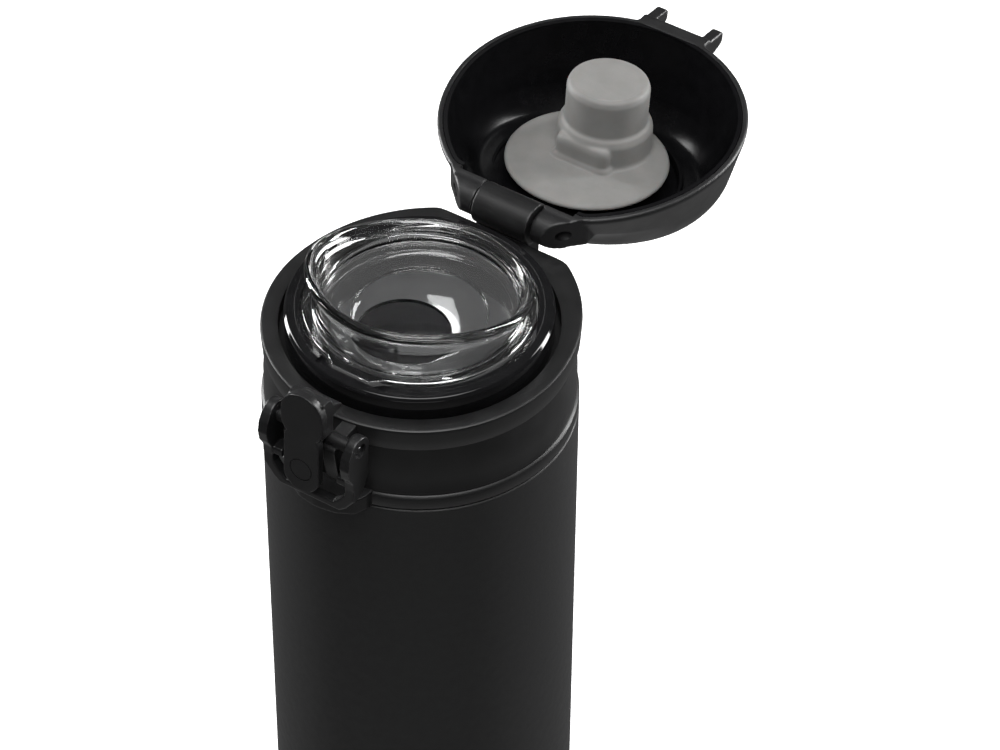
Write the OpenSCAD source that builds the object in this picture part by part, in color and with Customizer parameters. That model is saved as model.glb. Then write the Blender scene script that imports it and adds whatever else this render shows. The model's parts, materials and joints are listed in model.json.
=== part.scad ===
// Vacuum flask with a screw-on drinking cap: hinged snap lid, clear drinking
// spout, push-button latch and swing-up lock ring. The lid is drawn wide open.
// Origin at the centre of the base, +Z up, latch towards -Y, hinge towards +Y.

/* [Bottle] */
// Outside diameter of the bottle
body_d = 66; // [64:0.5:68]
// Height of the top face of the cap collar above the base
collar_top = 200; // [170:5:250]
// Thickness of the outer steel wall
shell_wall = 0.5; // [0.4:0.1:0.8]
// Thickness of the inner steel wall
vessel_wall = 0.4; // [0.3:0.1:0.6]
// Vacuum gap between the two walls
vacuum_gap = 1.9; // [1.5:0.1:2.5]

/* [Screw thread] */
// Outside radius of the bottle neck
neck_r = 26; // [25.8:0.1:26.2]
// Rise of the thread in one turn
thread_pitch = 5; // [4.5:0.25:6]
// Turns of thread on each part
thread_turns = 1.4; // [1:0.1:1.5]

/* [Collar] */
// Radius of the collar's top flange
flange_r = 32.6; // [32.2:0.1:32.9]
// Height of the flange band
flange_h = 5.4; // [4:0.2:6]
// Height of the whole collar
collar_h = 21.8; // [20:0.2:24]
// Distance of the flat hinge side from the axis
chord_y = 31; // [30.6:0.1:31.4]

/* [Hinge] */
// Distance of the hinge axis behind the flask axis
hinge_y = 33.6; // [33.4:0.1:33.8]
// Height of the hinge axis above the collar's top face
hinge_up = 4.1; // [4:0.1:4.3]
// Radius of the collar's hinge barrel
barrel_r = 4.5; // [4.3:0.1:4.6]
// Radius of the steel hinge pin
hinge_pin_r = 1.25; // [1:0.05:1.4]

/* [Lid] */
// Radius of the lid at its rim
lid_r = 32.7; // [32.5:0.1:32.8]
// Height of the lid above its rim, at the centre
lid_h = 18.7; // [18:0.1:19.5]
// Radius of the round between the lid's side and its top
lid_round = 13.3; // [12:0.1:14]
// Slope of the lid's top, higher over the latch
lid_slope = 10.5; // [10:0.5:11.5]
// Opening angle the lid is drawn at
lid_open = 180; // [0:5:180]

/* [Drinking spout] */
// Radius of the spout's lip
lip_r = 23.3; // [23:0.1:23.5]
// Mean height of the lip above the collar's top face
lip_up = 12.1; // [11.5:0.1:12.5]
// Rise and fall of the lip from front to back
lip_swing = 4.9; // [4:0.1:5]
// Radius of the drinking hole
hole_r = 9.9; // [9.6:0.1:10.2]
// Distance of the drinking hole in front of the flask axis
hole_y = 6; // [5.5:0.1:6.5]

/* [Latch] */
// Distance of the latch pin in front of the flask axis
latch_y = 37.6; // [37.5:0.1:37.7]
// Depth of the latch pin below the collar's top face
latch_down = 0.5; // [0.4:0.05:0.6]
// Radius of the steel latch pin
latch_pin_r = 1; // [0.8:0.05:1.1]
// Width of the button's upper end
button_w = 10; // [9:0.5:10.5]

/* [Hidden] */
$fn = 96;
eps = 0.01;

body_r = body_d / 2;
collar_z = collar_top - collar_h;
body_top = collar_z - 0.4;
neck_top = collar_top - 9;
vessel_r = body_r - shell_wall - vacuum_gap;
vessel_neck_r = neck_r - shell_wall - 0.2;
bore_r = neck_r + 1.6;
thread_z = body_top + 2.6;
hinge_z = collar_top + hinge_up;
latch_z = collar_top - latch_down;
rim_z = collar_top + 0.3;
shell_t = 1.2;
liner_gap = 0.1;
liner_t = 0.9;
running = 0.05;
barrel_half = 6.7;
ear_in = 7.2;
ear_r = 3.6;
pin_half = 9.4;
flank = 47;
flare = 2.1;
crown_r = 5;
fin_in = 3;
fin_out = 6.2;
boss_end = 8.6;
arm_in = 8.8;
arm_out = 11;

black_paint = [0.10, 0.10, 0.11];
steel = [0.72, 0.72, 0.74];
black_matte = [0.14, 0.14, 0.15];
black_gloss = [0.06, 0.06, 0.07];
clear_resin = [0.85, 0.90, 0.93, 0.45];
grey_silicone = [0.52, 0.51, 0.49];
dark_silicone = [0.22, 0.22, 0.23];

// ---- shared shapes -------------------------------------------------------

// Points of a quarter round from angle a to angle b
function arc(cx, cy, r, a, b, steps = 5) =
    [for (i = [0:steps]) [cx + r * cos(a + (b - a) * i / steps), cy + r * sin(a + (b - a) * i / steps)]];

// Faces that close a stack of rings, each of n points, with flat ends
function tube_faces(rings, n) = concat(
    [[for (k = [n - 1:-1:0]) k]],
    [for (i = [0:rings - 2], k = [0:n - 1]) [i * n + k, i * n + (k + 1) % n, (i + 1) * n + k]],
    [for (i = [0:rings - 2], k = [0:n - 1])
        [i * n + (k + 1) % n, (i + 1) * n + (k + 1) % n, (i + 1) * n + k]],
    [[for (k = [0:n - 1]) (rings - 1) * n + k]]
);

// Helical ridge: root radius, crest radius, half widths at root and crest
module thread_ridge(root, crest, root_w, crest_w, start) {
    per_turn = 32;
    rings = round(thread_turns * per_turn) + 1;
    section = [[root, -root_w], [crest, -crest_w], [crest, crest_w], [root, root_w]];
    points = [for (i = [0:rings - 1], p = (crest > root ? section : [for (k = [3:-1:0]) section[k]]))
        let (a = start + 360 * i / per_turn)
        [p[0] * cos(a), p[0] * sin(a), p[1] + thread_pitch * i / per_turn]];
    polyhedron(points, tube_faces(rings, 4), convexity = 8);
}

// Coil of round wire along X, centred on the origin
module coil_x(mean_r, wire_r, pitch, turns) {
    per_turn = 14;
    sides = 6;
    rings = round(turns * per_turn) + 1;
    points = [for (i = [0:rings - 1], k = [0:sides - 1])
        let (a = 360 * i / per_turn, r = mean_r + wire_r * cos(360 * k / sides))
        [pitch * (i / per_turn - turns / 2) + wire_r * sin(360 * k / sides), r * cos(a), r * sin(a)]];
    polyhedron(points, tube_faces(rings, sides), convexity = 8);
}

// Round bar or bore along X, from x0 to x1
module rod_x(r, x0, x1) {
    translate([x0, 0, 0]) rotate([0, 90, 0]) cylinder(h = x1 - x0, r = r);
}

// Side outline in Y and Z, made solid from x0 to x1
module side_plate(x0, x1, outline) {
    translate([x0, 0, 0]) rotate([90, 0, 90]) linear_extrude(x1 - x0) polygon(outline);
}

// Distance to the plan at angle a from the hinge side, where the round is drawn out to a flat
function plan_reach(r, a) = r + (a < 80 ? flare * pow((80 - a) / 50, 1.5) : 0);

// Round plan drawn out smoothly to a flat hinge side
module flared_plan(r, chord) {
    polygon([for (a = [-180:5:175])
        let (q = abs(a), reach = q < 60 ? min(plan_reach(r, q), chord / cos(q)) : plan_reach(r, q))
        [reach * sin(a), reach * cos(a)]]);
}

// ---- bottle --------------------------------------------------------------

module outer_shell() {
    w = shell_wall;
    color(black_paint) union() {
        rotate_extrude() polygon(concat(
            [[29.4, 0.3], [31, 0.3]],
            arc(body_r - 2, 2.3, 2, -80, 0),
            arc(body_r - 0.6, body_top - 0.6, 0.6, 0, 90, 3),
            [[neck_r, body_top], [neck_r, neck_top - 0.6], [neck_r - w, neck_top - 0.6]],
            [[neck_r - w, body_top - w], [body_r - w, body_top - 0.6 - w]],
            arc(body_r - 2, 2.3, 2 - w, 0, -80),
            [[31, 0.3 + w], [29.4, 0.3 + w]]
        ));
        translate([0, 0, thread_z]) thread_ridge(neck_r - 0.1, neck_r + 1.2, 0.9, 0.4, 0);
    }
}

module base_disc() {
    color(steel) rotate_extrude() polygon([
        [1.2, 1.9], [4.5, 1.9], [5.5, 3.1], [24, 3.1], [26, 1.7], [31.2, 1.7],
        [31.2, 2.3], [26.3, 2.3], [24.3, 3.7], [5.2, 3.7], [4.2, 2.5], [1.2, 2.5]
    ]);
}

module base_cover() {
    color(black_matte) rotate_extrude() polygon(concat(
        [[0, 0]], arc(28.6, 0.5, 0.5, -90, 0, 3), [[29.1, 1.6], [0, 1.6]]
    ));
}

module vacuum_seal() {
    color(dark_silicone) translate([0, 0, 1.65]) union() {
        cylinder(h = 1.2, r = 1.15);
        cylinder(h = 0.25, r = 3);
    }
}

module getter() {
    color(steel) translate([14, 0, 3.7]) cylinder(h = 1.2, r = 4);
}

module inner_vessel() {
    w = vessel_wall;
    r = vessel_r;
    n = vessel_neck_r;
    z0 = 5.5;
    shoulder = body_top - 10;
    color(steel) rotate_extrude() polygon(concat(
        [[0, z0]], arc(r - 6, z0 + 6, 6, -90, 0),
        arc(r - 3, shoulder, 3, 0, 50, 3), [[n, body_top - 2]],
        [[n, neck_top - 0.6], [neck_r, neck_top - 0.6], [neck_r, neck_top], [n - w, neck_top]],
        [[n - w, body_top - 2.3]], arc(r - 3, shoulder, 3 - w, 50, 0, 3),
        arc(r - 6, z0 + 6, 6 - w, 0, -90), [[0, z0 + w]]
    ));
}

// ---- screw cap -----------------------------------------------------------

module neck_gasket() {
    color(dark_silicone) translate([0, 0, neck_top + eps]) difference() {
        cylinder(h = 1.4, r = 26.6);
        translate([0, 0, -1]) cylinder(h = 4, r = 24.4);
    }
}

// Ring of the collar in half section, with the seat for the spout carrier
module collar_ring() {
    h = collar_h;
    rotate_extrude() polygon([
        [bore_r, -h], [32.9, -h], [33, -h + 0.4], [32.6, -18.3], [32.3, -18.1], [32.5, -17.7],
        [32.3, -15], [32, -11], [31.9, -flange_h - 0.3], [32.2, -flange_h], [32.5, -2.5],
        [flange_r, -0.5], [flange_r - 0.15, -0.15], [flange_r - 0.5, 0],
        [28.9, 0], [28.9, -3], [27.1, -3], [27.1, -8.3], [bore_r, -8.8]
    ]);
}

// Wedge that draws the ring out to a flat chord, starting inside the ring
module chord_wedge(r, chord, grow) {
    outline = concat(
        [[28.8 * sin(74), 28.8 * cos(74)], [(r - 1) * sin(74), (r - 1) * cos(74)]],
        [for (a = [62, 52, 42, 34])
            let (reach = r + grow * (plan_reach(r, a) - r))
            [reach * sin(a), reach * cos(a)]],
        [[chord * tan(27.5), chord]]
    );
    n = len(outline);
    polygon(concat(
        outline, [for (i = [n - 1:-1:0]) [-outline[i][0], outline[i][1]]], [[-17, 25], [0, 29.3], [17, 25]]
    ));
}

// Flat hinge side of the collar
module hinge_flare() {
    translate([0, 0, -flange_h]) linear_extrude(flange_h) chord_wedge(flange_r, chord_y, 1);
    translate([0, 0, -17.5]) linear_extrude(12.3) chord_wedge(31.9, chord_y - 0.5, 0.25);
}

// Web that stands out of the flat side and carries the hinge barrel
module hinge_web() {
    side_plate(-6.5, 6.5, [
        [29.2, -12], [30.6, -12], [34.2, -7], [35.3, -5], [35.3, 0],
        [36, 2], [33.6, 4], [31, 2.5], [31, -0.02], [29.2, -0.02]
    ]);
    translate([0, hinge_y, hinge_up]) rod_x(barrel_r, -barrel_half, barrel_half);
}

// Two fins with round bosses that carry the latch pin, and the chin below
module latch_mount() {
    for (s = [0, 1]) mirror([s, 0, 0]) {
        side_plate(fin_in, fin_out, [
            [-29, -0.4], [-39.4, -1], [-40.1, -1.7], [-39.7, -4.6], [-38.5, -11], [-37.9, -12],
            [-37, -11.4],
            [-36.5, -8], [-36.6, -4.6], [-35.4, -3.3], [-31, -3.6], [-29, -4.6]
        ]);
        translate([0, -latch_y, -latch_down]) rod_x(1.5, fin_in, boss_end);
    }
    translate([0, 0, -collar_h]) linear_extrude(3.9) polygon([
        [-9.4, -29.5], [-9.1, -33.2], [-7.9, -35.8], [-4.4, -37.7], [0, -38.3],
        [4.4, -37.7], [7.9, -35.8], [9.1, -33.2], [9.4, -29.5]
    ]);
}

module collar() {
    color(black_matte) union() {
        translate([0, 0, collar_top]) difference() {
            union() {
                difference() {
                    union() {
                        collar_ring();
                        hinge_flare();
                    }
                    translate([-20, chord_y, -17.5]) cube([40, 4, 20]);
                }
                hinge_web();
                latch_mount();
            }
            translate([0, hinge_y, hinge_up]) {
                rod_x(hinge_pin_r + running, -10, 10);
                rod_x(3.3, -5, 5);
            }
            translate([0, -latch_y, -latch_down]) rod_x(latch_pin_r + 0.02, -12, 12);
        }
        translate([0, 0, thread_z]) thread_ridge(bore_r + 0.3, neck_r + 0.5, 0.9, 0.4, 180);
    }
}

module spout_carrier() {
    color(black_gloss) translate([0, 0, collar_top]) difference() {
        rotate_extrude() polygon([
            [22.3, -7.5], [26.9, -7.5], [26.9, -2.99], [27.6, -2.99], [27.7, 2.6], [27.3, 3.7],
            [26.6, 4.2], [25.6, 4.3], [24.4, 4.1], [24.2, 3.3], [22.3, 3.3]
        ]);
        translate([-8.3, -25.2, 3.3]) cube([16.6, 5, 2]);
    }
}

// Height of the lip around the spout; the front is at angle -90
function lip_height(a) = let (c = cos(a + 90)) lip_up + lip_swing * (1.5 * c - 0.5 * pow(c, 3));

// Wall and rounded lip of the spout, its height changing round the rim.
// Each section point is a radius, a share of the wall's height and an offset.
module spout_wall() {
    rings = 60;
    foot = 2.5;
    section = [
        [20.3, 0, 0], [20.3, 0.45, 0], [20.4, 1, -3], [21.1, 1, -1.6], [21.5, 1, -0.7],
        [22.1, 1, -0.15], [22.6, 1, 0], [23.1, 1, -0.35], [lip_r, 1, -1], [23.1, 1, -1.8],
        [22.3, 1, -2.6], [21.9, 1, -3.2], [21.6, 0.45, 0], [21.6, 0, 0]
    ];
    n = len(section);
    points = [for (i = [0:rings - 1], p = section)
        let (a = 360 * i / rings)
        [p[0] * cos(a), p[0] * sin(a), foot + p[1] * (lip_height(a) - foot) + p[2]]];
    faces = [for (i = [0:rings - 1], k = [0:n - 1], t = [0, 1])
        let (j = (i + 1) % rings, m = (k + 1) % n)
        t == 0 ? [i * n + k, j * n + k, i * n + m] : [i * n + m, j * n + k, j * n + m]];
    polyhedron(points, faces, convexity = 6);
}

module drink_spout() {
    color(clear_resin) translate([0, 0, collar_top]) union() {
        difference() {
            union() {
                cylinder(h = 3.5, r = 21.45);
                translate([0, 0, 3.31]) cylinder(h = 1.6, r = 23.9);
                translate([0, 0, 3.31]) linear_extrude(1.6)
                    polygon([[-8, -21], [-5.8, -24.9], [5.8, -24.9], [8, -21]]);
            }
            translate([0, 0, 1.7]) cylinder(h = 8, r = 20.4);
            translate([0, 0, 1.2]) cylinder(h = 8, r = 14);
            translate([0, 0, -1]) cylinder(h = 1.3, r = 19.5);
            translate([0, -hole_y, -2]) cylinder(h = 8, r = hole_r);
            rotate_extrude() translate([21.75, 1.6]) circle(r = 0.5, $fn = 32);
        }
        spout_wall();
    }
}

module spout_gasket() {
    color(dark_silicone) translate([0, 0, collar_top + 1.6])
        rotate_extrude() translate([21.8, 0]) circle(r = 0.45, $fn = 32);
}

module latch_pin() {
    color(steel) translate([0, -latch_y, latch_z]) rod_x(latch_pin_r, -arm_out + 0.1, arm_out - 0.1);
}

module hinge_spring() {
    color(steel) translate([0, hinge_y, hinge_z]) coil_x(2.3, 0.4, 1.1, 7);
}

// Return spring beside the button's stem, round the latch pin
module button_spring() {
    color(steel) translate([2.05, -latch_y, latch_z]) coil_x(1.55, 0.25, 0.6, 2);
}

// ---- lid, shaped closed and then swung open about the hinge ---------------

module swing_open() {
    translate([0, hinge_y, hinge_z])
        rotate([-lid_open, 0, 0])
            translate([0, -hinge_y, -hinge_z]) children();
}

// Slanted dome on the flared plan, with every face moved in by inset
module lid_blank(inset, foot, chord) {
    side_r = lid_r - 15.6;
    side_z = lid_h - crown_r - (lid_round - crown_r) * sin(45);
    crown_x = side_r + (lid_round - crown_r) * cos(45);
    hull() {
        translate([0, 0, foot]) linear_extrude(rim_z + 2 - foot) flared_plan(lid_r - inset, chord);
        translate([0, 0, rim_z + side_z]) rotate([-lid_slope, 0, 0]) rotate_extrude($fn = 64)
            polygon(concat(
                [[0, 0]], arc(side_r, 0, lid_round - inset, -7, 45, 6),
                arc(crown_x, lid_h - crown_r - side_z, crown_r - inset, 52, 90, 4),
                [[0, lid_h - side_z - inset]]
            ));
    }
}

// Catch pad over the latch, with two horns that the lock ring holds down
module catch_pad() {
    side_plate(-8.2, 8.2, [
        [-30.5, 0.1], [-33.6, 0.1], [-34.6, 0.6], [-34.6, 4.4], [-34.2, 4.8], [-30.5, 5.2]
    ]);
    for (s = [0, 1]) mirror([s, 0, 0]) side_plate(5.6, 8.4, [
        [-31, 0.7], [-34, 0.9], [-39.5, 1.8], [-40.1, 2.5], [-40, 4], [-39.4, 4.9], [-36, 5.7], [-31.5, 7.2]
    ]);
}

// Hinge ears, cut off along the lid's straight flanks
module ears() {
    intersection() {
        union() {
            translate([0, hinge_y, hinge_z]) rod_x(ear_r, ear_in, 16);
            side_plate(ear_in, 17, [
                [28, rim_z + 0.1], [31.2, rim_z + 0.1], [hinge_y, hinge_z - 3],
                [hinge_y, hinge_z + 3.4], [28, hinge_z + 3.2]
            ]);
        }
        translate([0, 0, collar_top - 2]) linear_extrude(12) polygon([
            [5, 20], [flank - 20, 20], [flank - 37, 37], [flank - 37, 39], [5, 39]
        ]);
    }
}

// Relief inside the rim at the hinge, which leaves the barrel open to the inside
module rim_relief() {
    side_plate(-14, 14, [
        [31.8, rim_z - 1], [30.85, rim_z + 0.2], [28, rim_z + 4.4], [25, rim_z + 4.4], [25, rim_z - 1]
    ]);
}

module lid_shell() {
    color(black_matte) swing_open() difference() {
        union() {
            lid_blank(0, rim_z, chord_y);
            translate([0, 0, rim_z]) catch_pad();
            for (s = [0, 1]) mirror([s, 0, 0]) ears();
        }
        difference() {
            lid_blank(shell_t, rim_z - 2, chord_y - shell_t);
            translate([0, hinge_y, hinge_z]) rod_x(5.2, -8, 8);
        }
        translate([0, hinge_y, hinge_z]) {
            rod_x(barrel_r + 0.35, -ear_in, ear_in);
            rod_x(hinge_pin_r + 0.02, -20, 20);
            rod_x(2.2, pin_half + 0.1, 20);
            rod_x(2.2, -20, -pin_half - 0.1);
        }
        rim_relief();
    }
}

module lid_liner() {
    outer = shell_t + liner_gap;
    inner = outer + liner_t;
    color(black_gloss) swing_open() union() {
        difference() {
            lid_blank(outer, rim_z + 0.5, chord_y - outer);
            translate([0, hinge_y, hinge_z]) rod_x(5.3, -8.1, 8.1);
            rim_relief();
            difference() {
                lid_blank(inner, rim_z - 2, chord_y - inner);
                translate([0, hinge_y, hinge_z]) rod_x(5.75, -8.6, 8.6);
            }
        }
        intersection() {
            stopper_frame() translate([0, 0, 1.21]) cylinder(h = 5.4, r = 6);
            lid_blank(outer + 0.2, rim_z - 2, chord_y - outer);
        }
    }
}

// Frame of the stopper: its disc leans so that the plug enters square to the swing
module stopper_frame() {
    translate([0, 2.6, rim_z + 11.1]) rotate([-5.4, 0, 0]) children();
}

// Flange disc, drinking-hole plug and the key beside it
module lid_stopper() {
    color(grey_silicone) swing_open() stopper_frame() union() {
        rotate_extrude() polygon([[0, 0], [17.4, 0], [17.9, 0.5], [17.6, 1.2], [0, 1.2]]);
        translate([0, -6.8, 0]) rotate_extrude() polygon([
            [0, 0.8], [10.6, 0.8], [10.3, -0.6], [10.2, -5.6], [9.9, -6.2], [9.1, -6.6],
            [8.9, -15], [8.5, -16], [7.6, -16.3], [6.9, -16.1], [4, -15.9], [0, -15.8]
        ]);
        translate([-6.5, -2, -5]) cube([13, 5.9, 5.4]);
    }
}

module hinge_pin() {
    color(steel) translate([0, hinge_y, hinge_z]) rod_x(hinge_pin_r, -pin_half, pin_half);
}

// ---- latch ---------------------------------------------------------------

// Straight bar with round ends, standing along Y in plan
module stadium(r, y0, y1) {
    hull() for (y = [y0 + r, y1 - r]) translate([0, y]) circle(r = r, $fn = 48);
}

module latch_button() {
    color(black_matte) translate([0, -latch_y, latch_z]) difference() {
        rotate([-3.5, 0, 0]) translate([0, latch_y, latch_down]) difference() {
            union() {
                translate([0, -40.6, 0]) rotate([90, 0, 0]) linear_extrude(1.9) {
                    stadium(4.2, -12.8, 4);
                    stadium(button_w / 2, 0.2, 12.4);
                }
                side_plate(-4.2, 4.2, [
                    [-41, 1.6], [-41, 10.8], [-38.6, 10.8], [-37.6, 9.6], [-37.2, 8.7],
                    [-34.3, 6.9], [-34.3, 5.7], [-37.2, 5.7], [-37.2, 1.6]
                ]);
                side_plate(-2.6, 1.2, [
                    [-41, -3.6], [-37.4, -3.2], [-36, -1.8], [-36, 0.8], [-37.4, 2.4], [-41, 2.4]
                ]);
            }
            translate([0, -42.3, -7.1]) rotate([90, 0, 0]) cylinder(h = 1, r = 2.6);
        }
        rod_x(latch_pin_r + running, -6, 6);
    }
}

// One arm of the lock ring with the lug that holds a horn down
module ring_arm() {
    side_plate(arm_in, arm_out, [
        [-40, 1.6], [-41.5, -0.6], [-42, -3], [-41.6, -5.6], [-40.5, -7.6], [-40.3, -10], [-40.3, -13],
        [-38.3, -13], [-36.4, -11.2], [-35, -8.5], [-34.9, -4], [-34.8, -0.5]
    ]);
    translate([0, -latch_y, -latch_down]) rod_x(3.1, arm_in, arm_out);
    side_plate(6.6, arm_in + 0.5, [[-40.1, -9.9], [-40.1, -7.9], [-36.8, -7.9], [-36.8, -9.9]]);
}

module lock_ring() {
    color(black_matte) translate([0, 0, collar_top]) difference() {
        union() {
            for (s = [0, 1]) mirror([s, 0, 0]) ring_arm();
            translate([0, -38.3, 0]) rotate([90, 0, 0]) linear_extrude(2) polygon([
                [-arm_out, -10.5], [-10.8, -13], [-8.8, -15.8], [-7.2, -17.1], [7.2, -17.1],
                [8.8, -15.8], [10.8, -13], [arm_out, -10.5], [arm_in, -10.5], [8.6, -12],
                [7, -14.2], [5.6, -15.4], [-5.6, -15.4], [-7, -14.2], [-8.6, -12], [-arm_in, -10.5]
            ]);
        }
        translate([0, -latch_y, -latch_down]) {
            rod_x(latch_pin_r + running, -arm_out - 1, arm_out + 1);
            rod_x(1.7, 10.5, 12);
            rod_x(1.7, -12, -10.5);
        }
    }
}

// ---- nodes ---------------------------------------------------------------

outer_shell();
base_disc();
base_cover();
vacuum_seal();
getter();
inner_vessel();
neck_gasket();
collar();
spout_carrier();
drink_spout();
spout_gasket();
latch_pin();
hinge_spring();
button_spring();
lid_shell();
lid_liner();
lid_stopper();
hinge_pin();
latch_button();
lock_ring();
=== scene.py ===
import json
import math

import bmesh
import bpy
from mathutils import Matrix, Vector


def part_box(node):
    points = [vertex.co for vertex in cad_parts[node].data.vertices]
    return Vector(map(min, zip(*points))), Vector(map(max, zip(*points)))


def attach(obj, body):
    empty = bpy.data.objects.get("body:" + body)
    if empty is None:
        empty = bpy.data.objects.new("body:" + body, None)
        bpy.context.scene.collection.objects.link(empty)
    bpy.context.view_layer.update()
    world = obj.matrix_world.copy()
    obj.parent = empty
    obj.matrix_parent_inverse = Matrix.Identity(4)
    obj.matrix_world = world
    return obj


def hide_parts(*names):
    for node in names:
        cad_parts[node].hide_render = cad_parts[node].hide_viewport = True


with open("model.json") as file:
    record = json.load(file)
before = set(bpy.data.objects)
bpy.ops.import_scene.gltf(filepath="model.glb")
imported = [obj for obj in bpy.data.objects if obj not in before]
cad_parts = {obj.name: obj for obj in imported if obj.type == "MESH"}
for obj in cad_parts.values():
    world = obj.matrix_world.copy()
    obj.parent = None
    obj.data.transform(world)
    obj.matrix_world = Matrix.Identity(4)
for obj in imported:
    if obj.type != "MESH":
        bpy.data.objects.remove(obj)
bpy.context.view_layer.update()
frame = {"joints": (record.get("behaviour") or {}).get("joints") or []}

# Lengths in this file are millimetres until a mesh is made.
MM = 0.001
JOINTS = {joint["name"]: joint for joint in frame["joints"]}
HINGE = Vector(JOINTS["lid_hinge"]["pos_m"]) / MM
LATCH = Vector(JOINTS["button_press"]["pos_m"]) / MM
TOP = JOINTS["cap_turn"]["pos_m"][2] / MM
BODY_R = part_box("outer_shell")[1].x / MM
NECK_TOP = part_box("inner_vessel")[1].z / MM
RIM = TOP + 0.3
COLLAR_H = 21.8
BODY_TOP = TOP - COLLAR_H - 0.4
NECK_R = 26
WALL = 0.5
THREAD_LOW = BODY_TOP + 2.6
THREAD_TURNS = 1.4
THREAD_PITCH = 5

# The cap's parts are drawn from the collar's top, and the lid's from its rim with the lid shut.
CAP = Matrix.Translation((0, 0, TOP))
SWING_OPEN = Matrix.Translation(HINGE) @ Matrix.Rotation(math.pi, 4, "X") @ Matrix.Translation(-HINGE)
LID = SWING_OPEN @ Matrix.Translation((0, 0, RIM))
HINGE_IN_CAP = HINGE - Vector((0, 0, TOP))
LATCH_IN_CAP = LATCH - Vector((0, 0, TOP))
LID_HINGE_Z = HINGE.z - RIM

# Stopper's place and lean in the shut lid.
STOPPER = Matrix.Translation((0, 2.6, 11.1)) @ Matrix.Rotation(math.radians(-5.4), 4, "X")


# ---- outlines ---------------------------------------------------------------

def rounded(points, radius, steps=5, closed=True):
    """Outline with its corners rounded. A third number in a point is that corner's own radius."""
    out = []
    for i, p in enumerate(points):
        here = Vector(p[:2])
        size = p[2] if len(p) > 2 else radius
        if size <= 0 or (not closed and i in (0, len(points) - 1)):
            out.append(here)
            continue
        back = Vector(points[i - 1][:2]) - here
        ahead = Vector(points[(i + 1) % len(points)][:2]) - here
        angle = back.angle(ahead)
        if angle > math.pi - 0.03:
            out.append(here)
            continue
        cut = min(size / math.tan(angle / 2), 0.48 * back.length, 0.48 * ahead.length)
        start = here + back.normalized() * cut
        end = here + ahead.normalized() * cut
        for k in range(steps + 1):
            t = k / steps
            out.append(start.lerp(here, t).lerp(here.lerp(end, t), t))
    return out


def mirrored(points):
    """Right half of a symmetric outline, from top to bottom, made whole."""
    return [tuple(p) for p in points] + [(-p[0],) + tuple(p[1:]) for p in reversed(points)]


def around(count):
    """Angles of one full turn."""
    return [2 * math.pi * k / count for k in range(count)]


def capsule(half_width, low, high):
    """Upright bar with round ends, as points in X and Z."""
    arc = [math.pi * k / 20 for k in range(21)]
    top = [(half_width * math.cos(a), high - half_width + half_width * math.sin(a)) for a in arc]
    foot = [(-half_width * math.cos(a), low + half_width - half_width * math.sin(a)) for a in arc]
    return top + foot


# ---- solids, as (points, faces) ---------------------------------------------

def loft(rows, closed=False):
    """Quads between equal rings of points. closed joins the last ring to the first."""
    n = len(rows[0])
    points = [Vector(p) for row in rows for p in row]
    faces = []
    for i in range(len(rows) if closed else len(rows) - 1):
        a, b = i * n, (i + 1) % len(rows) * n
        faces += [(a + k, a + (k + 1) % n, b + (k + 1) % n, b + k) for k in range(n)]
    if not closed:
        faces += [tuple(range(n)), tuple(range((len(rows) - 1) * n, len(rows) * n))]
    return points, faces


def turned(profile, x=0, y=0, closed=True, count=192):
    """Profile of (radius, height) turned about an upright axis."""
    rings = [[(x + r * math.cos(a), y + r * math.sin(a), z) for a in around(count)] for r, z in profile]
    return loft(rings, closed)


def rod(radius, x0, x1, y=0, z=0, edge=0.15, count=48):
    """Bar along X with eased ends."""
    ends = [(x0, radius - edge), (x0 + edge, radius), (x1 - edge, radius), (x1, radius - edge)]
    return loft([[(x, y + r * math.cos(a), z + r * math.sin(a)) for a in around(count)] for x, r in ends])


def plate(outline, low, high, axis="X"):
    """Outline made solid along an axis: X takes (y, z), Y takes (x, z) and Z takes (x, y)."""
    at = "XYZ".index(axis)
    return loft([[(*p[:at], depth, *p[at:2]) for p in outline] for depth in (low, high)])


def mirror_x(part):
    points, faces = part
    return [Vector((-p.x, p.y, p.z)) for p in points], [tuple(reversed(f)) for f in faces]


def both_sides(*parts):
    """Each part with its mirror image across the flask's middle plane."""
    return [side for part in parts for side in (part, mirror_x(part))]


def placed(part, matrix):
    points, faces = part
    return [matrix @ p for p in points], faces


def helix(radius, wire, pitch, turns, y, z, x=0):
    """Coil of round wire along X."""
    per_turn = 40
    rows = []
    for i in range(round(turns * per_turn) + 1):
        a = 2 * math.pi * i / per_turn
        middle = x + pitch * (i / per_turn - turns / 2)
        ring = []
        for b in around(14):
            reach = radius + wire * math.cos(b)
            ring.append((middle + wire * math.sin(b), y + reach * math.cos(a), z + reach * math.sin(a)))
        rows.append(ring)
    return loft(rows)


def thread(root, crest, low, start):
    """Helical ridge with rounded flanks and run-outs at both ends."""
    per_turn, run_out = 72, 8
    steps = round(THREAD_TURNS * per_turn)
    # Upper half of the ridge: share of its height, and distance along the flask's axis.
    flank = [(-0.1, 0.95), (0.5, 0.78), (0.85, 0.55), (1, 0.25)]
    section = [(share, -rise) for share, rise in flank] + flank[::-1]
    rows = []
    for i in range(steps + 1):
        a = math.radians(start) + 2 * math.pi * i / per_turn
        grow = min(1, i / run_out, (steps - i) / run_out)
        height = (crest - root) * (0.05 + 0.95 * math.sin(math.pi / 2 * grow))
        ring = []
        for share, rise in section:
            reach = root + height * share
            ring.append((reach * math.cos(a), reach * math.sin(a), low + rise + THREAD_PITCH * i / per_turn))
        rows.append(ring)
    return loft(rows)


# ---- meshes and objects -------------------------------------------------------

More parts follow.
